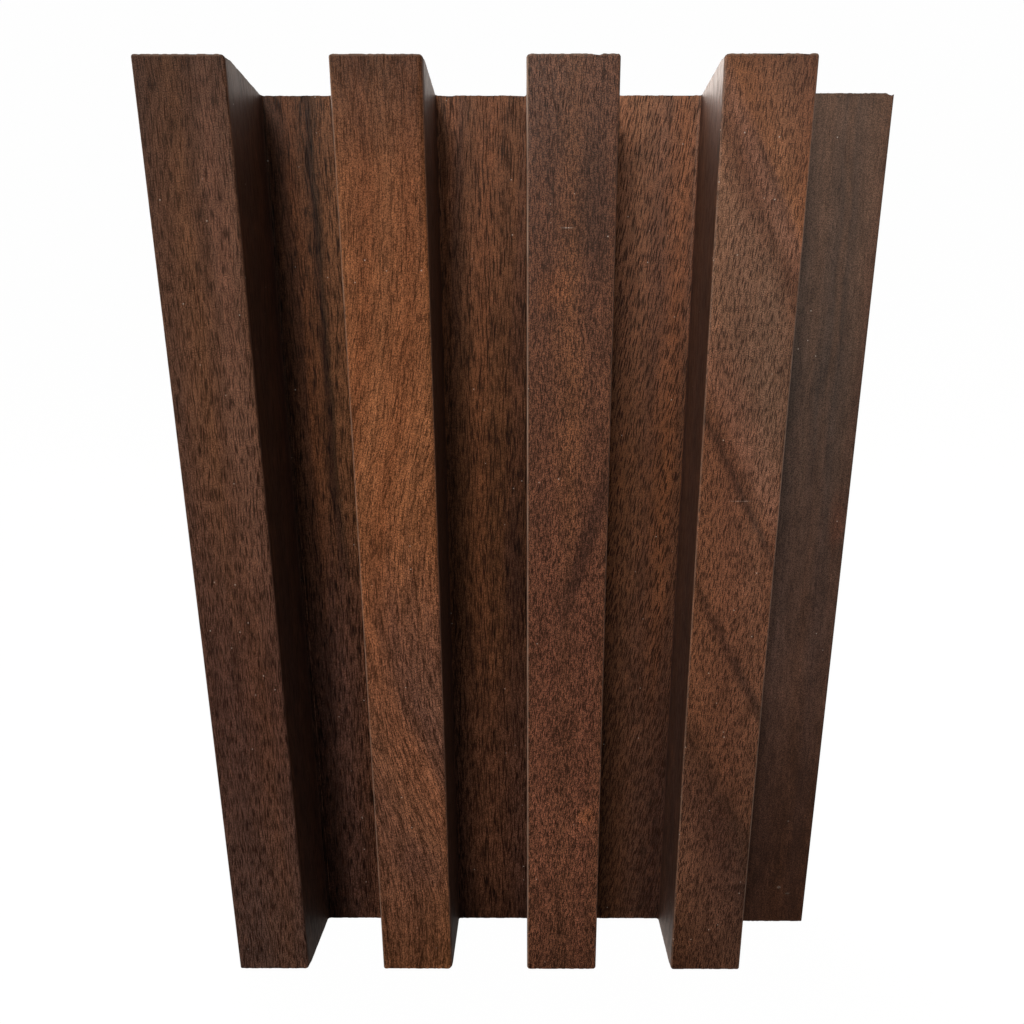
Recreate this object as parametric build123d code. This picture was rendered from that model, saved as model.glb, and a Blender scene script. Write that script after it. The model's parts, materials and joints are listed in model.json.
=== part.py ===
from build123d import *
import os

# Fluted wall panel: one moulding machined from solid walnut, standing on its lower sawn end.
# +Z runs along the slats, the fluted front faces -Y and the flat back faces +Y.
# X runs across the panel, with the lap flange on the +X side.
# The origin is the middle of the lower sawn end. All sizes are in millimetres.

# Length between the two sawn ends
panel_length = 203.0

# Section across the slats
slat_count = 4
slat_width = 17.55
channel_width = 19.15
channel_depth = 18.0
base_thickness = 8.0

# Lap joint to the next panel: a flange on the right, a rebate behind the first slat on the left.
# The flange carries one channel's width plus the strip that the next panel's first slat covers.
# Its front stands a little proud of the channel floors.
lap_width = 3.3
flange_rise = 1.0
lap_side_gap = 0.4
lap_face_gap = 0.25

# Eased edges. One arris of the second slat is rubbed rounder than the rest.
arris_radius = 0.5
rubbed_arris_radius = 1.1
rubbed_slat = 1
foot_radius = 0.6
flange_edge_radius = 0.5

# Places that follow from the sizes above
pitch = slat_width + channel_width
panel_width = slat_count * pitch + lap_width
panel_thickness = base_thickness + channel_depth
left_x = -panel_width / 2
right_x = panel_width / 2
front_y = -panel_thickness / 2
back_y = panel_thickness / 2
floor_y = front_y + channel_depth
flange_y = floor_y - flange_rise
flange_left_x = right_x - channel_width - lap_width
rebate_width = lap_width + lap_side_gap
rebate_y = flange_y - lap_face_gap


def block(x_low, x_high, y_low, y_high):
    """A rectangle of the section between two places in X and two in Y."""
    middle = ((x_low + x_high) / 2, (y_low + y_high) / 2)
    return Pos(*middle) * Rectangle(x_high - x_low, y_high - y_low)


def slat_sides(index):
    """The left and right side of one slat, counted from 0 at the left edge."""
    side = left_x + index * pitch
    return side, side + slat_width


def round_corner(section, x, y, radius):
    """Round the section's corner that lies at the given place."""
    corner = section.vertices().sort_by_distance((x, y))[0]
    return fillet(corner, radius)


def panel_section():
    """The panel's section, looking down the slats."""
    section = block(left_x, right_x, floor_y, back_y)
    section += block(flange_left_x, right_x, flange_y, back_y)
    for index in range(slat_count):
        left, right = slat_sides(index)
        section += block(left, right, front_y, back_y)
    section -= block(left_x, left_x + rebate_width, rebate_y, back_y)

    for index in range(slat_count):
        left, right = slat_sides(index)
        right_radius = rubbed_arris_radius if index == rubbed_slat else arris_radius
        section = round_corner(section, left, front_y, arris_radius)
        section = round_corner(section, right, front_y, right_radius)
        if index > 0:
            section = round_corner(section, left, floor_y, foot_radius)
        foot_y = flange_y if index == slat_count - 1 else floor_y
        section = round_corner(section, right, foot_y, foot_radius)
    return round_corner(section, right_x, flange_y, flange_edge_radius)


fluted_panel = extrude(panel_section(), amount=panel_length)

os.makedirs("parts", exist_ok=True)
export_step(fluted_panel, "parts/fluted_panel.step")
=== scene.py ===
# Looks of the fluted wall panel: a short sample of solid walnut moulding on its lower sawn end.
# The fluted front faces -Y. Lengths are in metres unless a note says millimetres.
import json
import math

import bmesh
import bpy
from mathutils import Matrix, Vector

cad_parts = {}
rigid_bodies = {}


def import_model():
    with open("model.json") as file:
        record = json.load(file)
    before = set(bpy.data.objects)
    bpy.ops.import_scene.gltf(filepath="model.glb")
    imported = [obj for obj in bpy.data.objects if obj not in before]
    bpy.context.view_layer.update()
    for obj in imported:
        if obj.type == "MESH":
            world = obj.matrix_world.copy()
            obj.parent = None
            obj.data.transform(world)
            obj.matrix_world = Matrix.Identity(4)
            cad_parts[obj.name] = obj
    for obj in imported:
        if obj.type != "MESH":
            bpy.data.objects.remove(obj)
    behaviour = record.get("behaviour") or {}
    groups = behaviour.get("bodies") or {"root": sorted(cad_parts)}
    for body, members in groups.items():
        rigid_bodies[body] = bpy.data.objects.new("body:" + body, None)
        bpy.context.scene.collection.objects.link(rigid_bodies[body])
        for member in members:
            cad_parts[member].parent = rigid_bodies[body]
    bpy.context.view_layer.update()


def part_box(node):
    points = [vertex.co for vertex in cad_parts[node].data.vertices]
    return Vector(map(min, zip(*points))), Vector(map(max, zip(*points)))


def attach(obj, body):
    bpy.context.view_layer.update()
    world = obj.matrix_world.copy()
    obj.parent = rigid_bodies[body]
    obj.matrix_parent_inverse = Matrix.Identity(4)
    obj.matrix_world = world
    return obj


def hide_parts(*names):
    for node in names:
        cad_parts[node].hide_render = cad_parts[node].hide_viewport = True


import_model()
panelLow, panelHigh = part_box("fluted_panel")
panelLength = panelHigh.z - panelLow.z
lengthMm = panelLength * 1000
frontMm = panelLow.y * 1000
sceneObjects = bpy.context.scene.collection.objects
print("frame loaded, panel", [round(side, 4) for side in panelHigh - panelLow])


# What a user would change about the panel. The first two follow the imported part.
panelSizes = {
    "Panel Length": panelLength,
    "Panel Thickness": panelHigh.y - panelLow.y,
    "Slat Count": 4,
    "Slat Width": 0.01755,
    "Channel Width": 0.01915,
    "Channel Depth": 0.018,
    "Lap Width": 0.0033,
    "Flange Rise": 0.001,
    "Lap Side Gap": 0.0004,
    "Lap Face Gap": 0.00025,
    "Arris Radius": 0.0005,
    "Rubbed Arris Radius": 0.0011,
    "Rubbed Slat": 1,
    "Foot Radius": 0.0006,
    "Flange Edge Radius": 0.0005,
    "Hidden Edge Radius": 0.0002,
    "Rounding Points": 5,
    "Front Spacing": 0.0004,
    "Other Spacing": 0.0007,
    "Rows": 84,
    "Crowding": 0.97,
    "Saw Raggedness": 0.0003,
    "Seed": 7,
}
slatMm = panelSizes["Slat Width"] * 1000
pitchMm = slatMm + panelSizes["Channel Width"] * 1000

# The kinds of node that come up most
calc = "ShaderNodeMath"
remap = "ShaderNodeMapRange"
mix = "ShaderNodeMix"
mapping = "ShaderNodeMapping"
noise = "ShaderNodeTexNoise"
combine = "ShaderNodeCombineXYZ"
separate = "ShaderNodeSeparateXYZ"
compare = "FunctionNodeCompare"
choose = "GeometryNodeSwitch"


# sRGB hex to the linear colour that shaders use
def linearColour(hexText):
    parts = [int(hexText[place:place + 2], 16) / 255 for place in (1, 3, 5)]
    return [part / 12.92 if part <= 0.04045 else ((part + 0.055) / 1.055) ** 2.4 for part in parts] + [1.0]


# Adds a node. A socket is given by its name or number, and gets a value or another node's output.
def addNode(tree, kind, sockets=None, **settings):
    node = tree.nodes.new(kind)
    for setting, value in settings.items():
        setattr(node, setting, value)
    for place, value in (sockets or {}).items():
        if isinstance(place, str):
            socket = next(entry for entry in node.inputs if entry.enabled and entry.name == place)
        else:
            socket = node.inputs[place]
        if isinstance(value, bpy.types.Node):
            value = next(entry for entry in value.outputs if entry.enabled)
        if isinstance(value, bpy.types.NodeSocket):
            tree.links.new(value, socket)
        else:
            socket.default_value = value
    return node


# A new material and its tree, still without nodes
def startMaterial(name):
    material = bpy.data.materials.new(name)
    material.use_nodes = True
    material.node_tree.nodes.clear()
    return material, material.node_tree


# Walnut tones, from the palest heartwood to the dark of an open pore, then worn wood, which also paints the
# arrises' highlights, and dust
walnutTones = {
    "tan": "#946444",
    "orange": "#835235",
    "warm": "#704930",
    "umber": "#5e3d2d",
    "russet": "#654031",
    "rose": "#745141",
    "taupe": "#664d3e",
    "plum": "#50372f",
    "cocoa": "#4e3427",
    "olive": "#4b3828",
    "dark": "#3b2820",
    "night": "#2a1b17",
    "slate": "#4b3f39",
    "pore": "#2a150c",
    "worn": "#a88f7e",
    "dust": "#cdc5bc",
}
walnutTones = {name: linearColour(hexText) for name, hexText in walnutTones.items()}

# Each planed face is its own cut through the figured board. All places are in millimetres, across from the
# face's left edge and down from the top end.
# streaks, lower: colours across the fibres, in the upper and in the lower part, where they differ
# change: the heights between which the upper part's colours give way to the lower part's
# bands: colours down the length, whose lines drop by tilt for each millimetre across
# bandShare, wave: how much the bands count, and how far their borders stray
# rings: contrast of the thin growth lines, where the cut shows them
# path, porePath: how far the streaks and the pores have moved sideways at each height. Without a porePath,
# the pores follow the streaks.
# fibre: length of the fine fibre lines; contrast: of fibre lines, short flecks and sanded specks
# pores: length and spacing of their cells, share that is open, and how dark
# arris: how far the left and the right arris are paled to the worn tone, partly real rubbing and partly a
# painted highlight where the rounded edge catches the light
# paintedShadeAndTone: painted light and shade, how much lighter or darker each height is drawn for the light
# that falls there, with the back's own plain darker tone; tint: how much it turns orange or olive here and
# there
# patches: (across, down, half width, half length, lean in degrees, tone, strength)
usualFace = {"tilt": 0.0, "tint": 0.1, "roughness": 0.42, "patches": []}
planedFaces = {
    "Slat1": {
        "left": 0.0,
        "streaks": [(0, "plum"), (2.5, "umber"), (7, "warm"), (10, "umber"), (12, "rose"), (15.8, "rose"),
                    (17.5, "umber")],
        "lower": [(0, "plum"), (6, "plum"), (12, "umber"), (17.5, "plum")],
        "change": (60, 130),
        "bands": [(0, "taupe"), (60, "taupe"), (130, "plum"), (203, "slate")],
        "bandShare": 0.4, "wave": 6.0,
        "path": [(0, 0), (203, 0.8)],
        "fibre": 3.2, "contrast": (0.7, 0.35, 0.6),
        "pores": (3.6, 0.25, 0.6, 0.75),
        "arris": (0.05, 0.0),
        "paintedShadeAndTone": [(0, 0.73), (25, 1.05), (60, 1.18), (95, 1.29), (130, 1.24), (165, 1.35), (203, 1.33)],
        "shine": 0.06,
        "patches": [(9, 9, 6, 0.15, 2, "rose", 0.3), (13.5, 30, 2, 32, 1, "rose", 0.7)],
    },
    "Channel1": {
        "left": 17.55,
        # Its dark left part, beside the slat to its left, is partly painted shade where that slat casts its
        # shadow, and partly the wood's own dark streak.
        "streaks": [(0, "dark"), (4, "umber"), (5.5, "orange"), (8, "warm"), (9.2, "night"), (10.4, "olive"),
                    (11.4, "tan"), (14.5, "tan"), (19, "umber")],
        "lower": [(0, "night"), (4.5, "night"), (8, "plum"), (14, "umber"), (19, "plum")],
        "change": (70, 120),
        "bands": [(0, "orange"), (80, "warm"), (130, "plum"), (203, "dark")],
        "bandShare": 0.25, "wave": 6.0,
        "path": [(0, 0), (203, 1.0)],
        "fibre": 4.0, "contrast": (0.85, 0.5, 0.5),
        "pores": (3.2, 0.3, 0.5, 0.8),
        "paintedShadeAndTone": [(0, 0.63), (25, 0.73), (60, 0.74), (95, 0.92), (130, 1.38), (165, 1.28), (203, 1.14)],
        "shine": 0.1, "roughness": 0.45,
        # The first patch is a painted highlight: the thin pale line where the rounded foot of the slat's
        # side catches the light.
        "patches": [(0.9, 100, 0.1, 120, 0, "rose", 0.7), (13.2, 35, 1.6, 48, 0, "tan", 0.6)],
    },
    "Slat2": {
        "left": 36.7,
        "streaks": [(-4, "warm"), (0, "tan"), (5, "orange"), (9, "tan"), (14, "orange"), (20, "tan"),
                    (27, "warm")],
        "lower": [(-14, "umber"), (-5, "umber"), (2, "warm"), (8, "orange"), (11, "orange"), (14, "umber"),
                  (17, "plum"), (21, "rose"), (27, "plum")],
        "change": (80, 120),
        "bands": [(0, "rose"), (20, "orange"), (90, "orange"), (130, "rose"), (165, "rose"), (203, "warm")],
        "bandShare": 0.5, "wave": 8.0, "rings": 0.35,
        "path": [(0, 0), (35, 0), (60, -3.5), (85, -8.5), (100, -9.5), (118, -8.5), (135, -3), (155, 6),
                 (175, 13), (203, 14)],
        "porePath": [(0, 0), (35, 0), (60, -3.5), (85, -8.5), (100, -9.5), (118, -9), (135, -7), (155, -2),
                     (175, 2), (203, 3)],
        "fibre": 4.5, "contrast": (0.45, 0.4, 0.5),
        "pores": (3.2, 0.27, 0.6, 0.75),
        "arris": (0.4, 0.2),
        "paintedShadeAndTone": [(0, 0.55), (25, 1.05), (60, 1.28), (95, 1.33), (130, 1.36), (165, 1.55), (203, 1.33)],
        "shine": 0.06,
        "patches": [(11, 172, 6, 8, 25, "plum", 0.5)],
    },
    "Channel2": {
        "left": 54.25,
        # The pale tones at the left of its upper part are painted light, set against the shadow that the
        # slat to its left casts there.
        "streaks": [(0, "warm"), (2, "orange"), (4.5, "umber"), (6.5, "warm"), (11, "orange"), (14, "warm"),
                    (16.5, "warm"), (19, "umber")],
        "lower": [(0, "dark"), (4, "plum"), (8, "umber"), (14, "umber"), (19, "plum")],
        "change": (90, 150),
        "bands": [(0, "rose"), (60, "warm"), (110, "warm"), (203, "umber")],
        "bandShare": 0.3, "wave": 8.0,
        "path": [(0, 1.5), (60, -2.5), (110, -3), (203, -2)],
        "porePath": [(0, 0), (203, -1.0)],
        "fibre": 4.0, "contrast": (0.8, 0.5, 0.4),
        "pores": (3.4, 0.3, 0.6, 0.85),
        "paintedShadeAndTone": [(0, 1.19), (25, 1.19), (60, 0.96), (95, 0.75), (130, 0.89), (165, 1.06), (203, 0.55)],
        "shine": 0.1, "roughness": 0.45,
        # The first patch is a painted highlight: the thin pale line where the rounded foot of the slat's
        # side catches the light.
        "patches": [(1.1, 100, 0.1, 120, 0, "rose", 0.7), (4.6, 121, 0.7, 15, 5, "night", 0.6),
                    (16, 103, 3, 17, 0, "plum", 0.5)],
    },
    "Slat3": {
        "left": 73.4,
        "streaks": [(0, "umber"), (5, "umber"), (9, "warm"), (13, "umber"), (17.5, "umber")],
        "lower": [(0, "umber"), (5, "russet"), (9, "umber"), (14, "russet"), (17.5, "umber")],
        "change": (60, 110),
        "bands": [(0, "rose"), (25, "umber"), (60, "umber"), (130, "russet"), (203, "umber")],
        "bandShare": 0.4, "wave": 8.0,
        "path": [(0, 0), (203, -1.0)],
        "porePath": [(0, 0), (90, 1), (203, -3.0)],
        "fibre": 1.8, "contrast": (0.6, 0.42, 0.65),
        "pores": (1.9, 0.3, 0.7, 0.95),
        "arris": (0.7, 0.15),
        "paintedShadeAndTone": [(0, 1.06), (25, 1.31), (60, 1.49), (95, 1.45), (130, 1.4), (165, 1.65), (203, 1.16)],
        "tint": 0.08, "shine": 0.2,
        "patches": [(13, 26, 4, 15, 5, "dark", 0.5), (5, 41, 4, 4.5, 0, "orange", 0.4),
                    (13, 92, 2.2, 22, -16, "night", 0.6), (14.5, 159, 2, 2.6, 0, "orange", 0.5),
                    (8.1, 29.5, 1.5, 0.12, 0, "dust", 0.6)],
    },
    "Channel3": {
        "left": 90.95,
        # The pale tones at its left are painted light, set against the shadow that the slat to its left
        # casts there.
        "streaks": [(0, "tan"), (3, "orange"), (7, "warm"), (12, "umber"), (16, "orange"), (19, "umber")],
        "lower": [(0, "orange"), (4, "warm"), (8, "warm"), (14, "rose"), (19, "plum")],
        "change": (110, 170),
        "bands": [(0, "taupe"), (40, "rose"), (80, "warm"), (120, "rose"), (203, "plum")],
        "bandShare": 0.35, "wave": 8.0,
        "path": [(0, 0), (203, -2)],
        "porePath": [(0, 0), (203, -28)],
        "fibre": 3.0, "contrast": (0.6, 0.7, 0.4),
        "pores": (3.4, 0.42, 0.85, 1.0),
        "paintedShadeAndTone": [(0, 1.94), (25, 1.71), (60, 1.22), (95, 1.12), (130, 0.88), (165, 0.8), (203, 0.75)],
        "tint": 0.25, "shine": 0.2,
    },
    "Slat4": {
        "left": 110.1,
        "streaks": [(0, "warm"), (6, "umber"), (12, "taupe"), (17.5, "umber")],
        "lower": [(0, "warm"), (8, "umber"), (17.5, "taupe")],
        "change": (80, 140),
        "bands": [(-30, "umber"), (-2, "warm"), (3, "rose"), (10, "cocoa"), (20, "taupe"), (40, "taupe"),
                  (55, "rose"), (62, "umber"), (64.5, "night"), (67.5, "umber"), (97, "umber"),
                  (100.5, "night"), (105, "umber"), (128, "umber"), (136, "dark"), (150, "plum"),
                  (172, "rose"), (203, "umber")],
        "tilt": 1.86, "bandShare": 0.72, "wave": 2.5,
        "path": [(0, 0), (203, 2)],
        "porePath": [(0, 0), (203, -12)],
        "fibre": 2.4, "contrast": (0.5, 0.6, 0.5),
        "pores": (2.2, 0.33, 0.75, 0.85),
        "arris": (0.25, 0.35),
        "paintedShadeAndTone": [(0, 1.23), (25, 1.95), (60, 1.58), (95, 1.92), (130, 1.69), (165, 1.27), (203, 0.77)],
        "shine": 0.2,
        "patches": [(9, 83, 2.5, 0.1, 0, "dust", 0.2), (11, 22, 1.1, 13, 26, "dark", 0.5)],
    },
    "Flange": {
        "left": 127.65,
        "streaks": [(0, "dark"), (6, "slate"), (10, "taupe"), (13, "slate"), (14.5, "taupe"), (16, "slate"),
                    (19, "taupe"), (22.5, "umber")],
        "lower": [(0, "dark"), (8, "plum"), (14, "umber"), (17, "plum"), (22.5, "umber")],
        "change": (50, 120),
        "bands": [(0, "taupe"), (60, "slate"), (120, "slate"), (203, "umber")],
        "bandShare": 0.5, "wave": 6.0,
        "path": [(0, 0), (203, 1)],
        "fibre": 2.2, "contrast": (0.25, 0.2, 0.5),
        "pores": (4.0, 0.4, 0.15, 0.3),
        "paintedShadeAndTone": [(0, 1.13), (25, 1.18), (60, 1.16), (95, 1.12), (130, 1.16), (165, 0.67), (203, 0.59)],
        "tint": 0.05, "shine": 0.3,
        "patches": [(20, 91, 2, 9, 0, "russet", 0.5), (15, 192, 0.5, 0.4, 0, "dust", 0.3),
                    (17.5, 194, 0.7, 0.3, 0, "dust", 0.25)],
    },
    "Sides": {
        "left": frontMm, "turned": True,
        "streaks": [(0, "umber"), (6, "plum"), (12, "umber"), (18, "plum")],
        "change": (60, 140),
        "bands": [(0, "umber"), (100, "plum"), (203, "umber")],
        "bandShare": 0.3, "wave": 8.0,
        "path": [(0, 0), (203, 1)],
        "fibre": 9.0, "contrast": (0.5, 0.3, 0.35),
        "pores": (4.5, 0.4, 0.7, 0.5),
        "paintedShadeAndTone": [(0, 1.0), (203, 1.0)],
        "tint": 0.2, "shine": 0.6, "roughness": 0.5,
    },
    "Back": {
        "left": 0.0,
        "streaks": [(0, "umber"), (18, "warm"), (30, "dark"), (44, "umber"), (62, "orange"), (80, "warm"),
                    (96, "umber"), (112, "olive"), (126, "umber"), (150, "plum")],
        "lower": [(0, "umber"), (24, "plum"), (52, "umber"), (78, "warm"), (104, "umber"), (150, "umber")],
        "change": (40, 170),
        "bands": [(0, "warm"), (100, "umber"), (203, "warm")],
        "tilt": 0.3, "bandShare": 0.25, "wave": 9.0,
        "path": [(0, 0), (60, 4), (120, -2), (203, 3)],
        "fibre": 6.0, "contrast": (0.5, 0.4, 0.4),
        "pores": (3.6, 0.38, 0.8, 0.8),
        "paintedShadeAndTone": [(0, 0.7), (203, 0.7)],
        "tint": 0.15, "shine": 0.3,
    },
}


# Gives a curve node the value that the list names at each height of the panel. The node gives 0 for low and
# 1 for high.
def setCurve(node, points, low, high):
    curve = node.mapping.curves[0]
    places = [(down / lengthMm, (value - low) / (high - low)) for down, value in points]
    for entry, place in zip(curve.points, (places[0], places[-1])):
        entry.location = place
    for place in places[1:-1]:
        curve.points.new(*place)
    node.mapping.update()


# Gives a ramp node the tones of a list of (millimetres, tone), from its first place to its last
def setTones(node, tones):
    stops = node.color_ramp.elements
    while len(stops) < len(tones):
        stops.new(0.5)
    start, end = tones[0][0], tones[-1][0]
    for stop, (place, tone) in zip(stops, tones):
        stop.position = (place - start) / (end - start)
        stop.color = walnutTones[tone]


# What all the planed faces share, in millimetres where it is a length. A stray is how far a noise pushes a
# border, and the shear keeps the pores out of rows.
grain = {
    "path reach": 40.0,
    "broad stray": 3.0,
    "fine stray": 1.4,
    "fleck stray": 1.5,
    "change stray": 40.0,
    "brightest": 2.0,
    "pore shear": 0.45,
    "worn end": 0.3,
    "worn width": 0.45,
    "dust share": 0.2,
    "dust strength": 0.75,
    "roughness spread": 0.06,
}


# Walnut planed along the grain, then sanded and oiled: brown that shifts from orange to plum by the cut,
# fine dark pore lines along the fibres, and a dull satin surface with slightly rougher pores.
def planedWalnut(name):
    face = {**usualFace, **planedFaces[name]}
    material, tree = startMaterial("planedWalnut" + name)
    panelLeftMm = panelLow.x * 1000

    # Object coordinates in millimetres: across the face, down from the top end, and which face it is
    turned = face.get("turned", False)
    objectPlace = addNode(tree, "ShaderNodeTexCoord").outputs["Object"]
    turn = -math.pi / 2 if turned else 0
    scaled = addNode(tree, mapping, {
        "Vector": objectPlace, "Rotation": (0, 0, turn), "Scale": (1000, 1000, 1000)})
    parts = addNode(tree, separate, {"Vector": scaled})
    start = face["left"] if turned else panelLeftMm + face["left"]
    across = addNode(tree, calc, {0: parts.outputs["X"], 1: start}, operation="SUBTRACT")
    down = addNode(tree, calc, {0: lengthMm, 1: parts.outputs["Z"]}, operation="SUBTRACT")
    share = addNode(tree, calc, {0: down, 1: lengthMm}, operation="DIVIDE")
    which = addNode(tree, calc, {0: face["left"]}, operation="FLOOR")
    if turned:  # the sides of the slats stand half a pitch apart on average, and no two are alike
        which = addNode(tree, calc, {
            0: parts.outputs["Y"], 1: -1.0, 2: pitchMm / 4 - panelLeftMm}, operation="MULTIPLY_ADD")
        which = addNode(tree, calc, {0: which, 1: pitchMm / 2}, operation="DIVIDE")
        which = addNode(tree, calc, {0: which}, operation="FLOOR")

    # Slow wander of the fibres, about 9 by 28 mm
    facePlace = addNode(tree, combine, {"X": across, "Y": down, "Z": which})
    slowPlace = addNode(tree, mapping, {"Vector": facePlace, "Scale": (0.11, 0.035, 2.7)})
    slow = addNode(tree, noise, {"Vector": slowPlace, "Scale": 1.0, "Detail": 2.0})
    wander = addNode(tree, calc, {0: slow, 1: -0.5}, operation="ADD")
    reach = grain["path reach"]
    lines = {}
    for use, spread in (("path", 3.6), ("porePath", 2.0)):
        bend = addNode(tree, "ShaderNodeFloatCurve", {"Value": share})
        setCurve(bend, face.get(use, face["path"]), -reach, reach)
        bend = addNode(tree, calc, {0: bend, 1: 2 * reach, 2: -reach}, operation="MULTIPLY_ADD")
        straight = addNode(tree, calc, {0: across, 1: bend}, operation="SUBTRACT")
        lines[use] = addNode(tree, calc, {0: wander, 1: spread, 2: straight}, operation="MULTIPLY_ADD")

    # Noise drawn out along the fibres, in waves each millimetre across and down. The third number keeps the
    # faces apart.
    fibrePlace = addNode(tree, combine, {"X": lines["porePath"], "Y": down, "Z": which})
    noises = {}
    for grade, size, octaves in (
            ("fine", (3.4, 1 / face["fibre"], 3.1), 1.0), ("broad", (0.6, 0.02, 3.1), 3.0),
            ("mottled", (0.35, 0.12, 3.1), 3.0), ("tinted", (0.9, 0.3, 5.3), 2.0),
            ("flecked", (4.4, 1.3, 3.1), 1.0), ("sanded", (6.0, 5.0, 3.1), 0.0),
            ("grouped", (1.5, 0.14, 5.3), 1.0)):
        place = addNode(tree, mapping, {"Vector": fibrePlace, "Scale": size})
        noises[grade] = addNode(tree, noise, {"Vector": place, "Scale": 1.0, "Detail": octaves})

    # Colours across the fibres, ragged from fibre to fibre, that change from the upper part to the lower
    broad, fine = grain["broad stray"], grain["fine stray"]
    ragged = addNode(tree, calc, {0: noises["broad"], 1: broad, 2: lines["path"]}, operation="MULTIPLY_ADD")
    ragged = addNode(tree, calc, {0: noises["fine"], 1: fine, 2: ragged}, operation="MULTIPLY_ADD")
    ragged = addNode(tree, calc, {0: ragged, 1: (broad + fine) / 2}, operation="SUBTRACT")
    streaks = []
    for tones in (face["streaks"], face.get("lower", face["streaks"])):
        position = addNode(tree, remap, {
            "Value": ragged, "From Min": tones[0][0], "From Max": tones[-1][0]})
        streaks.append(addNode(tree, "ShaderNodeValToRGB", {"Fac": position}))
        setTones(streaks[-1], tones)
    stray = grain["change stray"]
    first, last = (place + stray / 2 for place in face["change"])
    late = addNode(tree, calc, {0: noises["broad"], 1: stray, 2: down}, operation="MULTIPLY_ADD")
    late = addNode(tree, remap, {
        "Value": late, "From Min": first, "From Max": last}, interpolation_type="SMOOTHSTEP")
    colour = addNode(tree, mix, {"Factor": late, "A": streaks[0], "B": streaks[1]}, data_type="RGBA")

    # Colours down the length, with wavy borders
    drop = addNode(tree, calc, {0: across, 1: -face["tilt"], 2: down}, operation="MULTIPLY_ADD")
    drop = addNode(tree, calc, {0: noises["mottled"], 1: face["wave"], 2: drop}, operation="MULTIPLY_ADD")
    fleck = grain["fleck stray"]
    drop = addNode(tree, calc, {0: noises["flecked"], 1: fleck, 2: drop}, operation="MULTIPLY_ADD")
    midWave = (face["wave"] + fleck) / 2
    first, last = face["bands"][0][0] + midWave, face["bands"][-1][0] + midWave
    position = addNode(tree, remap, {"Value": drop, "From Min": first, "From Max": last})
    bands = addNode(tree, "ShaderNodeValToRGB", {"Fac": position})
    setTones(bands, face["bands"])
    colour = addNode(tree, mix, {
        "Factor": face["bandShare"], "A": colour, "B": bands}, data_type="RGBA")

    # Patches of figure, and on the channels thin painted highlights along their feet, with soft uneven edges
    flatPlace = addNode(tree, combine, {"X": across, "Y": down})
    for acrossMm, downMm, halfWidth, halfLength, lean, tone, strength in face["patches"]:
        local = addNode(tree, mapping, {
            "Vector": flatPlace, "Location": (acrossMm, downMm, 0), "Rotation": (0, 0, -math.radians(lean)),
            "Scale": (halfWidth, halfLength, 1)}, vector_type="TEXTURE")
        away = addNode(tree, "ShaderNodeVectorMath", {0: local}, operation="LENGTH").outputs["Value"]
        away = addNode(tree, calc, {0: noises["mottled"], 1: 1.2, 2: away}, operation="MULTIPLY_ADD")
        cover = addNode(tree, remap, {
            "Value": away, "From Min": 1.9, "From Max": 0.9, "To Max": strength,
        }, interpolation_type="SMOOTHSTEP")
        colour = addNode(tree, mix, {
            "Factor": cover, "A": colour, "B": walnutTones[tone]}, data_type="RGBA")

    # Here and there a warmer or a greener tint
    for low, high, tone in ((0.5, 0.75, "orange"), (0.5, 0.25, "olive")):
        cover = addNode(tree, remap, {
            "Value": noises["tinted"], "From Min": low, "From Max": high, "To Max": face["tint"]})
        colour = addNode(tree, mix, {
            "Factor": cover, "A": colour, "B": walnutTones[tone]}, data_type="RGBA")

    # Light and dark: painted light and shade down the length, then the wood's own light and dark from fibre
    # to fibre, mottled, and in single cells
    light = addNode(tree, "ShaderNodeFloatCurve", {"Value": share})
    setCurve(light, face["paintedShadeAndTone"], 0, grain["brightest"])
    light = addNode(tree, calc, {0: light, 1: grain["brightest"]}, operation="MULTIPLY")
    if "rings" in face:  # about 1.5 mm apart, and plainer in the lower part
        ringPlace = addNode(tree, combine, {"X": lines["path"], "Y": down})
        ringPlace = addNode(tree, mapping, {"Vector": ringPlace, "Scale": (0.85, 0.004, 1)})
        rings = addNode(tree, noise, {"Vector": ringPlace, "Scale": 1.0, "Detail": 1.0})
        rings = addNode(tree, remap, {
            "Value": rings, "From Min": 0.5, "From Max": 0.68, "To Max": face["rings"]})
        shown = addNode(tree, remap, {"Value": down, "From Min": 70.0, "From Max": 120.0, "To Min": 0.3})
        rings = addNode(tree, calc, {0: rings, 1: shown}, operation="MULTIPLY")
        rings = addNode(tree, calc, {0: 1.0, 1: rings}, operation="SUBTRACT")
        light = addNode(tree, calc, {0: light, 1: rings}, operation="MULTIPLY")
    fibres, flecks, specks = face["contrast"]
    detail = 1.0
    for grade, low, high, palest, darkest in (
            ("fine", 0.5, 0.68, 1.0, 1 - fibres), ("flecked", 0.54, 0.74, 1.0, 1 - flecks),
            ("sanded", 0.3, 0.7, 1 + specks, 1 - specks), ("mottled", 0.32, 0.68, 1.15, 0.83),
            ("grouped", 0.3, 0.7, 1.12, 0.86)):
        change = addNode(tree, remap, {
            "Value": noises[grade], "From Min": low, "From Max": high, "To Min": palest, "To Max": darkest})
        detail = addNode(tree, calc, {0: detail, 1: change}, operation="MULTIPLY")
    stronger = addNode(tree, remap, {"Value": share, "To Min": 0.85, "To Max": 1.45})
    detail = addNode(tree, calc, {0: detail, 1: stronger}, operation="POWER")
    light = addNode(tree, calc, {0: light, 1: detail}, operation="MULTIPLY")
    lightVector = addNode(tree, combine, {"X": light, "Y": light, "Z": light})
    colour = addNode(tree, mix, {
        "Factor": 1.0, "A": colour, "B": lightVector}, data_type="RGBA", blend_type="MULTIPLY")

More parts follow.
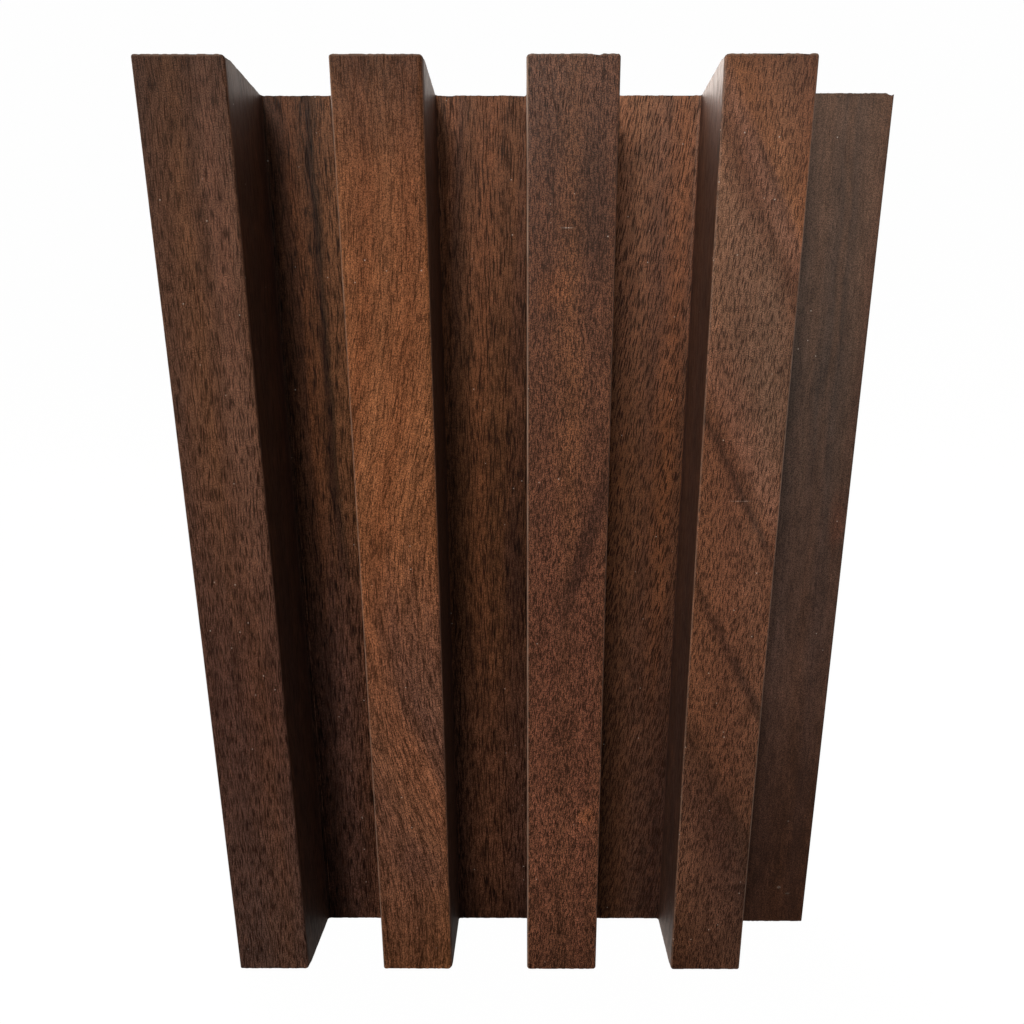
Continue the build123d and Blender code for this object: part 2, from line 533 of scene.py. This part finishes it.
    # Open pores: short dark lines along the fibres, 0.1 to 0.25 mm wide
    poreLength, poreSpacing, poreShare, poreDepth = face["pores"]
    offSide = addNode(tree, calc, {0: which, 1: 7.3, 2: lines["porePath"]}, operation="MULTIPLY_ADD")
    column = addNode(tree, calc, {0: offSide, 1: poreSpacing}, operation="DIVIDE")
    shifted = addNode(tree, calc, {0: down, 1: poreLength}, operation="DIVIDE")
    shifted = addNode(tree, calc, {0: column, 1: grain["pore shear"], 2: shifted}, operation="MULTIPLY_ADD")
    porePlace = addNode(tree, combine, {"X": column, "Y": shifted})
    cells = addNode(tree, "ShaderNodeTexVoronoi", {
        "Vector": porePlace, "Scale": 1.0}, voronoi_dimensions="2D")
    luck = addNode(tree, "ShaderNodeSeparateColor", {"Color": cells.outputs["Color"]})
    kept = addNode(tree, calc, {0: luck.outputs["Red"], 1: poreShare}, operation="LESS_THAN")
    poreSize = addNode(tree, remap, {"Value": luck.outputs["Green"], "To Min": 0.2, "To Max": 0.4})
    poreEdge = addNode(tree, calc, {0: poreSize, 1: cells.outputs["Distance"]}, operation="SUBTRACT")
    pore = addNode(tree, remap, {"Value": poreEdge, "From Min": -0.02, "From Max": 0.08})
    pore = addNode(tree, calc, {0: pore, 1: kept}, operation="MULTIPLY")
    deeper = addNode(tree, remap, {
        "Value": share, "To Min": poreDepth * 0.8, "To Max": poreDepth * 1.3})
    poreDark = addNode(tree, calc, {0: pore, 1: deeper}, operation="MULTIPLY")
    colour = addNode(tree, mix, {
        "Factor": poreDark, "A": colour, "B": walnutTones["pore"]}, data_type="RGBA")

    # Paler wood along the slats' arrises and upper sawn edge, where handling has rubbed it unevenly. Along
    # the arrises, the left ones most, this paling is also a painted highlight where the rounded edge catches
    # the light.
    if "arris" in face:
        leftRubAndHighlight, rightRubAndHighlight = face["arris"]
        fromRight = addNode(tree, calc, {0: slatMm, 1: across}, operation="SUBTRACT")
        edges = []
        for distance, strength in ((across, leftRubAndHighlight), (fromRight, rightRubAndHighlight), (down, grain["worn end"])):
            edges.append(addNode(tree, remap, {
                "Value": distance, "From Min": grain["worn width"], "From Max": 0.2,
                "To Max": strength * 2}))
        rubbed = addNode(tree, calc, {0: edges[0], 1: edges[1]}, operation="ADD")
        rubbed = addNode(tree, calc, {0: rubbed, 1: edges[2]}, operation="MAXIMUM")
        rubbed = addNode(tree, calc, {0: rubbed, 1: noises["mottled"]}, operation="MULTIPLY")
        colour = addNode(tree, mix, {
            "Factor": rubbed, "A": colour, "B": walnutTones["worn"]}, data_type="RGBA")

    # Sparse specks of dust, about 0.1 mm
    dustPlace = addNode(tree, mapping, {"Vector": facePlace, "Scale": (0.45, 0.45, 2.7)})
    dustCells = addNode(tree, "ShaderNodeTexVoronoi", {"Vector": dustPlace, "Scale": 1.0})
    dustLuck = addNode(tree, "ShaderNodeSeparateColor", {"Color": dustCells.outputs["Color"]})
    dustKept = addNode(tree, calc, {
        0: dustLuck.outputs["Red"], 1: grain["dust share"]}, operation="LESS_THAN")
    dust = addNode(tree, remap, {
        "Value": dustCells.outputs["Distance"], "From Min": 0.075, "From Max": 0.04,
        "To Max": grain["dust strength"]})
    dust = addNode(tree, calc, {0: dust, 1: dustKept}, operation="MULTIPLY")
    colour = addNode(tree, mix, {
        "Factor": dust, "A": colour, "B": walnutTones["dust"]}, data_type="RGBA")

    height = addNode(tree, calc, {0: noises["fine"], 1: 0.4, 2: 1.0}, operation="MULTIPLY_ADD")
    height = addNode(tree, calc, {0: height, 1: pore}, operation="SUBTRACT")
    bump = addNode(tree, "ShaderNodeBump", {"Strength": 0.35, "Distance": 0.00008, "Height": height})
    smoothest, roughest = (face["roughness"] + sign * grain["roughness spread"] for sign in (-1, 1))
    rough = addNode(tree, remap, {"Value": noises["fine"], "To Min": smoothest, "To Max": roughest})
    rough = addNode(tree, calc, {0: pore, 1: 0.2, 2: rough}, operation="MULTIPLY_ADD")
    shader = addNode(tree, "ShaderNodeBsdfPrincipled", {
        "Base Color": colour, "Roughness": rough, "IOR": 1.5, "Specular IOR Level": face["shine"],
        "Normal": bump})
    addNode(tree, "ShaderNodeOutputMaterial", {"Surface": shader})
    return material


# Walnut cut across by a fine saw: dark end grain with growth rings, dots of pores and faint saw lines.
def sawnWalnutEnd():
    material, tree = startMaterial("sawnWalnutEnd")
    objectPlace = addNode(tree, "ShaderNodeTexCoord").outputs["Object"]
    place = addNode(tree, mapping, {
        "Vector": objectPlace, "Location": (40, -210, 0), "Scale": (1000, 1000, 0)})
    reach = addNode(tree, "ShaderNodeVectorMath", {0: place}, operation="LENGTH").outputs["Value"]
    wave = addNode(tree, noise, {"Vector": place, "Scale": 0.05, "Detail": 2.0})
    rings = addNode(tree, calc, {0: wave, 1: 6.0, 2: reach}, operation="MULTIPLY_ADD")
    rings = addNode(tree, calc, {0: rings, 1: 0.31}, operation="MULTIPLY")
    rings = addNode(tree, calc, {0: rings}, operation="FRACT")
    ramp = addNode(tree, "ShaderNodeValToRGB", {"Fac": rings})
    ramp.color_ramp.elements[0].color = walnutTones["umber"]
    ramp.color_ramp.elements[1].color = walnutTones["night"]
    ramp.color_ramp.elements.new(0.75).color = walnutTones["plum"]
    cells = addNode(tree, "ShaderNodeTexVoronoi", {"Vector": place, "Scale": 2.2}, voronoi_dimensions="2D")
    pore = addNode(tree, remap, {"Value": cells, "From Min": 0.3, "From Max": 0.18})
    colour = addNode(tree, mix, {
        "Factor": pore, "A": ramp, "B": walnutTones["pore"]}, data_type="RGBA")
    sawPlace = addNode(tree, mapping, {"Vector": place, "Scale": (0.05, 3.0, 1)})
    saw = addNode(tree, noise, {"Vector": sawPlace, "Scale": 1.0, "Detail": 2.0})
    height = addNode(tree, calc, {0: pore, 1: -0.6, 2: saw}, operation="MULTIPLY_ADD")
    bump = addNode(tree, "ShaderNodeBump", {"Strength": 0.5, "Distance": 0.0001, "Height": height})
    shader = addNode(tree, "ShaderNodeBsdfPrincipled", {
        "Base Color": colour, "Roughness": 0.62, "IOR": 1.5, "Specular IOR Level": 0.25, "Normal": bump})
    addNode(tree, "ShaderNodeOutputMaterial", {"Surface": shader})
    return material


# The panel's shape: a section that follows the slats, swept up the length, with rows crowded at both ends
def panelTree(finishes):
    tree = bpy.data.node_groups.new("flutedPanel", "GeometryNodeTree")
    tree.interface.new_socket("Panel", in_out="OUTPUT", socket_type="NodeSocketGeometry")
    for name, value in panelSizes.items():
        kind = "NodeSocketInt" if isinstance(value, int) else "NodeSocketFloat"
        tree.interface.new_socket(name, in_out="INPUT", socket_type=kind).default_value = value
    size = tree.nodes.new("NodeGroupInput").outputs
    count = size["Slat Count"]

    pitch = addNode(tree, calc, {0: size["Slat Width"], 1: size["Channel Width"]}, operation="ADD")
    whole = addNode(tree, calc, {0: pitch, 1: count, 2: size["Lap Width"]}, operation="MULTIPLY_ADD")
    right = addNode(tree, calc, {0: whole, 1: 0.5}, operation="MULTIPLY")
    left = addNode(tree, calc, {0: whole, 1: -0.5}, operation="MULTIPLY")
    back = addNode(tree, calc, {0: size["Panel Thickness"], 1: 0.5}, operation="MULTIPLY")
    front = addNode(tree, calc, {0: size["Panel Thickness"], 1: -0.5}, operation="MULTIPLY")
    channelFloor = addNode(tree, calc, {0: front, 1: size["Channel Depth"]}, operation="ADD")
    flange = addNode(tree, calc, {0: channelFloor, 1: size["Flange Rise"]}, operation="SUBTRACT")
    seat = addNode(tree, calc, {0: flange, 1: size["Lap Face Gap"]}, operation="SUBTRACT")
    inner = addNode(tree, calc, {0: left, 1: size["Lap Width"]}, operation="ADD")
    inner = addNode(tree, calc, {0: inner, 1: size["Lap Side Gap"]}, operation="ADD")

    # Four corners for each slat, left foot, left arris, right arris, right foot, and four behind them
    index = addNode(tree, "GeometryNodeInputIndex")
    quarter = addNode(tree, calc, {0: index, 1: 4.0}, operation="DIVIDE")
    slat = addNode(tree, calc, {0: quarter}, operation="FLOOR")
    corner = addNode(tree, calc, {0: index, 1: 4.0}, operation="MODULO")
    lastSlat = addNode(tree, calc, {0: count, 1: 1.5}, operation="SUBTRACT")
    lastCorner = addNode(tree, calc, {0: count, 1: 0.5}, operation="SUBTRACT")
    isFirst = addNode(tree, compare, {"A": slat, "B": 0.5}, operation="LESS_THAN")
    isLast = addNode(tree, compare, {"A": slat, "B": lastSlat}, operation="GREATER_THAN")
    isBehind = addNode(tree, compare, {"A": slat, "B": lastCorner}, operation="GREATER_THAN")
    isRight = addNode(tree, compare, {"A": corner, "B": 1.5}, operation="GREATER_THAN")
    isStart = addNode(tree, compare, {"A": corner, "B": 0.5}, operation="LESS_THAN")
    isMiddle = addNode(tree, compare, {"A": corner, "B": 1.5, "Epsilon": 0.9}, operation="EQUAL")
    isRubbed = addNode(tree, compare, {
        "A": slat, "B": size["Rubbed Slat"], "Epsilon": 0.1}, operation="EQUAL")

    slatLeft = addNode(tree, calc, {0: slat, 1: pitch, 2: left}, operation="MULTIPLY_ADD")
    slatRight = addNode(tree, calc, {0: slatLeft, 1: size["Slat Width"]}, operation="ADD")
    slatAcross = addNode(tree, choose, {
        0: isRight, "False": slatLeft, "True": slatRight}, input_type="FLOAT")
    backAcross = addNode(tree, choose, {0: isRight, "False": right, "True": inner}, input_type="FLOAT")
    across = addNode(tree, choose, {
        0: isBehind, "False": slatAcross, "True": backAcross}, input_type="FLOAT")

    leftFoot = addNode(tree, choose, {0: isFirst, "False": channelFloor, "True": seat}, input_type="FLOAT")
    rightFoot = addNode(tree, choose, {0: isLast, "False": channelFloor, "True": flange}, input_type="FLOAT")
    foot = addNode(tree, choose, {0: isRight, "False": leftFoot, "True": rightFoot}, input_type="FLOAT")
    slatDeep = addNode(tree, choose, {0: isMiddle, "False": foot, "True": front}, input_type="FLOAT")
    edge = addNode(tree, choose, {0: isRight, "False": flange, "True": seat}, input_type="FLOAT")
    backDeep = addNode(tree, choose, {0: isMiddle, "False": edge, "True": back}, input_type="FLOAT")
    deep = addNode(tree, choose, {0: isBehind, "False": slatDeep, "True": backDeep}, input_type="FLOAT")

    rubbed = addNode(tree, choose, {
        0: isRubbed, "False": size["Arris Radius"], "True": size["Rubbed Arris Radius"]}, input_type="FLOAT")
    arris = addNode(tree, choose, {
        0: isRight, "False": size["Arris Radius"], "True": rubbed}, input_type="FLOAT")
    isSeat = addNode(tree, "FunctionNodeBooleanMath", {0: isFirst, 1: isStart}, operation="AND")
    hollow = addNode(tree, choose, {
        0: isSeat, "False": size["Foot Radius"], "True": size["Hidden Edge Radius"]}, input_type="FLOAT")
    slatRadius = addNode(tree, choose, {0: isMiddle, "False": hollow, "True": arris}, input_type="FLOAT")
    backRadius = addNode(tree, choose, {
        0: isStart, "False": size["Hidden Edge Radius"], "True": size["Flange Edge Radius"],
    }, input_type="FLOAT")
    radius = addNode(tree, choose, {
        0: isBehind, "False": slatRadius, "True": backRadius}, input_type="FLOAT")

    corners = addNode(tree, calc, {0: count, 1: 4.0, 2: 4.0}, operation="MULTIPLY_ADD")
    section = addNode(tree, "GeometryNodeMeshLine", {"Count": corners, "Offset": (0.01, 0, 0)})
    section = addNode(tree, "GeometryNodeMeshToCurve", {"Mesh": section})
    section = addNode(tree, "GeometryNodeSetPosition", {
        "Geometry": section, "Position": addNode(tree, combine, {"X": across, "Y": deep})})
    section = addNode(tree, "GeometryNodeSetSplineCyclic", {"Geometry": section, "Cyclic": True})
    section = addNode(tree, "GeometryNodeFilletCurve", {
        "Curve": section, "Count": size["Rounding Points"], "Radius": radius}, mode="POLY")

    # Close points along the front, wider ones on the sides and the back
    here = addNode(tree, "GeometryNodeInputPosition")
    following = addNode(tree, "GeometryNodeOffsetPointInCurve", {"Point Index": index, "Offset": 1})
    there = addNode(tree, "GeometryNodeFieldAtIndex", {
        "Value": here, "Index": following.outputs["Point Index"]}, data_type="FLOAT_VECTOR", domain="POINT")
    run = addNode(tree, "ShaderNodeVectorMath", {0: there, 1: here}, operation="SUBTRACT")
    gap = addNode(tree, "ShaderNodeVectorMath", {0: run}, operation="LENGTH").outputs["Value"]
    runSides = addNode(tree, separate, {"Vector": run})
    slope = addNode(tree, calc, {0: runSides.outputs["X"], 1: gap}, operation="DIVIDE")
    isFront = addNode(tree, compare, {"A": slope, "B": 0.9}, operation="GREATER_THAN")
    spacing = addNode(tree, choose, {
        0: isFront, "False": size["Other Spacing"], "True": size["Front Spacing"]}, input_type="FLOAT")
    cuts = addNode(tree, calc, {0: gap, 1: spacing}, operation="DIVIDE")
    section = addNode(tree, "GeometryNodeSubdivideCurve", {
        "Curve": section, "Cuts": addNode(tree, calc, {0: cuts}, operation="FLOOR")})

    # Heights of the rows: t - crowding * sin(2 pi t) / (2 pi)
    lastRow = addNode(tree, calc, {0: size["Rows"], 1: 1.0}, operation="SUBTRACT")
    climb = addNode(tree, calc, {0: index, 1: lastRow}, operation="DIVIDE")
    turn = addNode(tree, calc, {0: climb, 1: 2 * math.pi}, operation="MULTIPLY")
    swing = addNode(tree, calc, {0: turn}, operation="SINE")
    pull = addNode(tree, calc, {0: size["Crowding"], 1: -0.5 / math.pi}, operation="MULTIPLY")
    climb = addNode(tree, calc, {0: swing, 1: pull, 2: climb}, operation="MULTIPLY_ADD")
    height = addNode(tree, calc, {0: climb, 1: size["Panel Length"]}, operation="MULTIPLY")
    spine = addNode(tree, "GeometryNodeMeshLine", {"Count": size["Rows"], "Offset": (0, 0, 0.01)})
    spine = addNode(tree, "GeometryNodeMeshToCurve", {"Mesh": spine})
    spine = addNode(tree, "GeometryNodeSetPosition", {
        "Geometry": spine, "Position": addNode(tree, combine, {"Z": height})})
    body = addNode(tree, "GeometryNodeCurveToMesh", {
        "Curve": spine, "Profile Curve": section, "Fill Caps": True})

    # Sawn ends: the last row is torn back a little, unevenly
    sides = addNode(tree, separate, {"Vector": here})
    middle = addNode(tree, calc, {0: size["Panel Length"], 1: 0.5}, operation="MULTIPLY")
    fromMiddle = addNode(tree, calc, {0: sides.outputs["Z"], 1: middle}, operation="SUBTRACT")
    side = addNode(tree, calc, {0: fromMiddle}, operation="SIGN")
    toEnd = addNode(tree, calc, {0: fromMiddle}, operation="ABSOLUTE")
    toEnd = addNode(tree, calc, {0: middle, 1: toEnd}, operation="SUBTRACT")
    isEnd = addNode(tree, compare, {"A": toEnd, "B": 0.00002}, operation="LESS_THAN")
    tearPlace = addNode(tree, "ShaderNodeVectorMath", {0: here, 1: size["Seed"]}, operation="ADD")
    tear = addNode(tree, noise, {"Vector": tearPlace, "Scale": 1100.0, "Detail": 2.0})
    tear = addNode(tree, remap, {"Value": tear, "From Min": 0.45, "From Max": 0.8})
    tear = addNode(tree, calc, {0: tear, 1: size["Saw Raggedness"]}, operation="MULTIPLY")
    tear = addNode(tree, calc, {0: tear, 1: side}, operation="MULTIPLY")
    tear = addNode(tree, calc, {0: tear, 1: -1.0}, operation="MULTIPLY")
    body = addNode(tree, "GeometryNodeSetPosition", {
        "Geometry": body, "Selection": isEnd, "Offset": addNode(tree, combine, {"Z": tear})})

    # A number for each face: slats, then channels and flange, then sides, back and ends
    facing = addNode(tree, "GeometryNodeInputNormal")
    normal = addNode(tree, separate, {"Vector": facing})
    number = addNode(tree, calc, {0: sides.outputs["X"], 1: left}, operation="SUBTRACT")
    number = addNode(tree, calc, {0: number, 1: pitch}, operation="DIVIDE")
    number = addNode(tree, calc, {0: number}, operation="FLOOR")
    finalSlat = addNode(tree, calc, {0: count, 1: 1.0}, operation="SUBTRACT")
    number = addNode(tree, calc, {0: number, 1: finalSlat}, operation="MINIMUM")
    halfway = addNode(tree, calc, {0: size["Channel Depth"], 1: 0.5, 2: front}, operation="MULTIPLY_ADD")
    isSunk = addNode(tree, calc, {0: sides.outputs["Y"], 1: halfway}, operation="GREATER_THAN")
    number = addNode(tree, calc, {0: isSunk, 1: count, 2: number}, operation="MULTIPLY_ADD")
    twice = addNode(tree, calc, {0: count, 1: 2.0}, operation="MULTIPLY")
    beyond = addNode(tree, calc, {0: count, 1: 2.0, 2: 1.0}, operation="MULTIPLY_ADD")
    final = addNode(tree, calc, {0: count, 1: 2.0, 2: 2.0}, operation="MULTIPLY_ADD")
    isToFront = addNode(tree, compare, {"A": normal.outputs["Y"], "B": -0.5}, operation="LESS_THAN")
    isToBack = addNode(tree, compare, {"A": normal.outputs["Y"], "B": 0.5}, operation="GREATER_THAN")
    upright = addNode(tree, calc, {0: normal.outputs["Z"]}, operation="ABSOLUTE")
    isSawn = addNode(tree, compare, {"A": upright, "B": 0.5}, operation="GREATER_THAN")
    number = addNode(tree, choose, {0: isToFront, "False": twice, "True": number}, input_type="FLOAT")
    number = addNode(tree, choose, {0: isToBack, "False": number, "True": beyond}, input_type="FLOAT")
    number = addNode(tree, choose, {0: isSawn, "False": number, "True": final}, input_type="FLOAT")
    body = addNode(tree, "GeometryNodeStoreNamedAttribute", {
        "Geometry": body, "Name": "faceNumber", "Value": number}, data_type="INT", domain="FACE")

    bend = addNode(tree, "GeometryNodeInputMeshEdgeAngle").outputs["Unsigned Angle"]
    isSharp = addNode(tree, compare, {"A": bend, "B": 0.9}, operation="GREATER_THAN")
    body = addNode(tree, "GeometryNodeSetShadeSmooth", {
        "Geometry": body, "Selection": isSharp, "Shade Smooth": False}, domain="EDGE")

    body = addNode(tree, "GeometryNodeRealizeInstances", {"Geometry": body})
    stored = addNode(tree, "GeometryNodeInputNamedAttribute", {"Name": "faceNumber"}, data_type="INT")
    for place, finish in enumerate(finishes):
        isThis = addNode(tree, compare, {"A": stored, "B": place}, data_type="INT", operation="EQUAL")
        body = addNode(tree, "GeometryNodeSetMaterial", {
            "Geometry": body, "Selection": isThis, "Material": finish})
    addNode(tree, "NodeGroupOutput", {"Panel": body})
    return tree


# Turns a Geometry Nodes tree into a plain mesh object of that name
def makePiece(name, tree, values):
    carrier = bpy.data.objects.new(name + "Carrier", bpy.data.meshes.new(name + "Carrier"))
    sceneObjects.link(carrier)
    modifier = carrier.modifiers.new("shape", "NODES")
    modifier.node_group = tree
    for socket in tree.interface.items_tree:
        if socket.in_out == "INPUT":
            modifier[socket.identifier] = values[socket.name]
    depsgraph = bpy.context.evaluated_depsgraph_get()
    mesh = bpy.data.meshes.new_from_object(carrier.evaluated_get(depsgraph), depsgraph=depsgraph)
    bpy.data.objects.remove(carrier)
    mesh.name = name
    piece = bpy.data.objects.new(name, mesh)
    sceneObjects.link(piece)
    return piece


# Slats, channels and flange from left to right, then the sides and the back, as the tree numbers them. The
# sawn ends come last.
faceOrder = [
    "Slat1", "Slat2", "Slat3", "Slat4", "Channel1", "Channel2", "Channel3", "Flange", "Sides", "Back"]
finishes = [planedWalnut(name) for name in faceOrder]
finishes.append(sawnWalnutEnd())
print("materials made:", len(finishes))

panel = makePiece("flutedPanel", panelTree(finishes), panelSizes)
print("panel made:", len(panel.data.vertices), "points")

# Wear of the sawn ends, in millimetres. A chip is (place from the left edge, place from the front,
# half width, how far down, how far in, True for the upper end). Every slat's front corners are rubbed too.
endWear = {
    "chips": [
        (86.5, 0.0, 0.9, 0.35, 0.8, True),
        (120.3, 0.0, 0.8, 0.3, 0.8, True),
        (125.1, 0.0, 0.7, 0.3, 0.7, True),
        (57.0, 18.0, 0.8, 0.35, 0.8, True),
        (71.6, 18.0, 1.6, 0.45, 1.0, True),
        (103.0, 18.0, 0.8, 0.3, 0.8, True),
        (149.4, 17.0, 0.9, 0.4, 0.9, True),
    ],
    "corner width": 0.8,
    "corner drop": 0.6,
    "corner depth": 2.5,
    "edge ring": 0.12,
    "reach": 2.0,
}


# Pulls the ends in at each chip and corner, with a ring just inside the edge that goes along. The ring is
# narrower than the smallest rounding, or it would cross itself there.
def wearEnds(piece):
    shape = bmesh.new()
    shape.from_mesh(piece.data)
    ends = [face for face in shape.faces if len(face.verts) > 100]
    bmesh.ops.inset_region(shape, faces=ends, thickness=endWear["edge ring"] / 1000, use_even_offset=True)
    for point in shape.verts:
        x = (point.co.x - panelLow.x) * 1000
        y = (point.co.y - panelLow.y) * 1000
        isUpper = point.co.z > panelLength / 2
        fromEnd = lengthMm - point.co.z * 1000 if isUpper else point.co.z * 1000
        if fromEnd > endWear["reach"]:
            continue
        moved = 0.0
        for place, face, halfWidth, drop, reach, atTop in endWear["chips"]:
            sideways = abs(x - place) / halfWidth
            inwards = abs(y - face) / reach
            if atTop == isUpper and sideways < 1 and inwards < 1:
                moved += drop * (1 - sideways ** 2) * (1 - inwards)
        alongSlat = x % pitchMm
        toCorner = min(alongSlat, slatMm - alongSlat) / endWear["corner width"]
        if toCorner < 1 and x < pitchMm * panelSizes["Slat Count"] and y < endWear["corner depth"]:
            bend = min(1.0, 1 - max(toCorner, 0.0))
            backwards = 1 - y / endWear["corner depth"]
            moved += endWear["corner drop"] * (1 - math.sqrt(1 - bend ** 2)) * backwards
        moved *= 1 - fromEnd / endWear["reach"]
        point.co.z += (-moved if isUpper else moved) / 1000
    shape.to_mesh(piece.data)
    shape.free()


wearEnds(panel)
print("ends worn, panel has", len(panel.data.polygons), "faces")

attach(panel, "root")
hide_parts("fluted_panel")

# Pale studio: a round floor whose rim curves up all round. It shows, and takes shadows, but throws no
# light back, so that the dark wood isn't washed out from below.
studio = {
    "radius": 1.6,
    "rim": 0.8,
    "rim steps": 12,
    "round steps": 96,
    "height": 3.0,
    "glow": 0.99,
    "paleTone": "#ffffff",
}


def makeStudio():
    shape = bmesh.new()
    radius, rim = studio["radius"], studio["rim"]
    outline = [(0.0, 0.0), (radius, 0.0)]
    for step in range(1, studio["rim steps"] + 1):
        angle = step / studio["rim steps"] * math.pi / 2
        outline.append((radius + rim * math.sin(angle), rim * (1 - math.cos(angle))))
    outline.append((radius + rim, studio["height"]))
    points = [shape.verts.new((across, 0, up)) for across, up in outline]
    edges = [shape.edges.new(pair) for pair in zip(points, points[1:])]
    bmesh.ops.spin(
        shape, geom=points + edges, cent=(0, 0, 0), axis=(0, 0, 1), angle=2 * math.pi,
        steps=studio["round steps"])
    bmesh.ops.remove_doubles(shape, verts=shape.verts, dist=0.0001)
    bmesh.ops.recalc_face_normals(shape, faces=shape.faces)
    if shape.faces[0].normal.z < 0:
        bmesh.ops.reverse_faces(shape, faces=shape.faces)
    mesh = bpy.data.meshes.new("studioFloor")
    shape.to_mesh(mesh)
    shape.free()
    for face in mesh.polygons:
        face.use_smooth = True
    material, tree = startMaterial("matPaintStudio")
    paint = addNode(tree, "ShaderNodeBsdfDiffuse", {"Color": linearColour(studio["paleTone"])})
    glow = addNode(tree, "ShaderNodeEmission", {"Color": linearColour(studio["paleTone"]), "Strength": 1.0})
    mixed = addNode(tree, "ShaderNodeMixShader", {0: studio["glow"], 1: paint, 2: glow})
    addNode(tree, "ShaderNodeOutputMaterial", {"Surface": mixed})
    mesh.materials.append(material)
    floor = bpy.data.objects.new("studioFloor", mesh)
    sceneObjects.link(floor)
    floor.visible_diffuse = False
    floor.visible_glossy = False
    floor.visible_shadow = False


makeStudio()

# Soft lights: (place, aimed at, width, height, spread in degrees, watts, tone)
softLights = {
    "keyLight": ((-0.30, -1.10, 0.95), (0.05, 0.0, 0.15), 0.4, 0.4, 60, 1.45, "#fff4ea"),
    "sideLight": ((-0.90, -0.75, 0.75), (0.03, 0.0, 0.15), 0.4, 0.4, 70, 0.4, "#fff6ee"),
    "windowLight": ((0.60, -1.25, 0.75), (0.0, 0.0, 0.15), 0.9, 0.7, 120, 0.8, "#fff8f0"),
}
for name, (place, target, width, height, spread, watts, tone) in softLights.items():
    light = bpy.data.lights.new(name, "AREA")
    light.shape = "RECTANGLE"
    light.size = width
    light.size_y = height
    light.spread = math.radians(spread)
    light.energy = watts
    light.color = linearColour(tone)[:3]
    lamp = bpy.data.objects.new(name, light)
    lamp.location = place
    lamp.rotation_euler = (Vector(target) - Vector(place)).to_track_quat("-Z", "Y").to_euler()
    sceneObjects.link(lamp)

# Soft light from all round, by height: (how high, from 0 straight down to 1 straight up, tone). Behind the
# panel it is white, as around the photographed one, and the slats' sides catch its shine near both ends.
surround = [(0.0, "#1c1a19"), (0.15, "#34302d"), (0.5, "#9b9996"), (0.72, "#b8b5b1"), (1.0, "#a5a19c")]
behindTone = "#f6ece4"
world = bpy.data.worlds.new("softSurround")
bpy.context.scene.world = world
world.use_nodes = True
surroundTree = world.node_tree
surroundTree.nodes.clear()
direction = addNode(surroundTree, "ShaderNodeTexCoord").outputs["Generated"]
heading = addNode(surroundTree, separate, {"Vector": direction})
upness = addNode(surroundTree, remap, {"Value": heading.outputs["Z"], "From Min": -1.0})
sky = addNode(surroundTree, "ShaderNodeValToRGB", {"Fac": upness})
while len(sky.color_ramp.elements) < len(surround):
    sky.color_ramp.elements.new(0.5)
for stop, (place, tone) in zip(sky.color_ramp.elements, surround):
    stop.position = place
    stop.color = linearColour(tone)
behind = addNode(surroundTree, remap, {
    "Value": heading.outputs["Y"], "From Min": 0.0, "From Max": 0.4})
sky = addNode(surroundTree, mix, {
    "Factor": behind, "A": sky, "B": linearColour(behindTone)}, data_type="RGBA")
fromLeft = addNode(surroundTree, remap, {
    "Value": heading.outputs["X"], "From Min": 0.35, "From Max": -0.35, "To Min": 0.9, "To Max": 6.5})
fromAbove = addNode(surroundTree, remap, {
    "Value": heading.outputs["Z"], "From Min": -0.5, "From Max": 0.1, "To Min": 0.12, "To Max": 1.0})
bright = addNode(surroundTree, calc, {0: fromLeft, 1: fromAbove}, operation="MULTIPLY")
strength = addNode(surroundTree, mix, {"Factor": behind, "A": 0.32, "B": bright})
glowing = addNode(surroundTree, "ShaderNodeBackground", {"Color": sky, "Strength": strength})
addNode(surroundTree, "ShaderNodeOutputWorld", {"Surface": glowing})

# The photo's view: from just in front of the panel, about two thirds up, looking down a little. Tilt and
# turn are in degrees, the sensor's width in millimetres.
viewpoint = {
    "image pixels": 1024,
    "sensor width": 36,
    "place": (-0.00081, -0.16086, 0.14033),
    "tilt": 75.96,
    "turn": 0.13,
    "focal pixels": 694.2,
    "centre pixel": (529.0, 576.7),
}
camera = bpy.data.objects.new("photoCamera", bpy.data.cameras.new("photoCamera"))
camera.location = viewpoint["place"]
camera.rotation_euler = (math.radians(viewpoint["tilt"]), 0, math.radians(viewpoint["turn"]))
pixels = viewpoint["image pixels"]
camera.data.sensor_width = viewpoint["sensor width"]
camera.data.lens = viewpoint["focal pixels"] / pixels * viewpoint["sensor width"]
camera.data.shift_x = (pixels / 2 - viewpoint["centre pixel"][0]) / pixels
camera.data.shift_y = (viewpoint["centre pixel"][1] - pixels / 2) / pixels
camera.data.clip_start = 0.01
camera.data.clip_end = 20
sceneObjects.link(camera)
bpy.context.scene.camera = camera
bpy.context.scene.view_settings.view_transform = "Standard"
print("studio, lights and camera made")
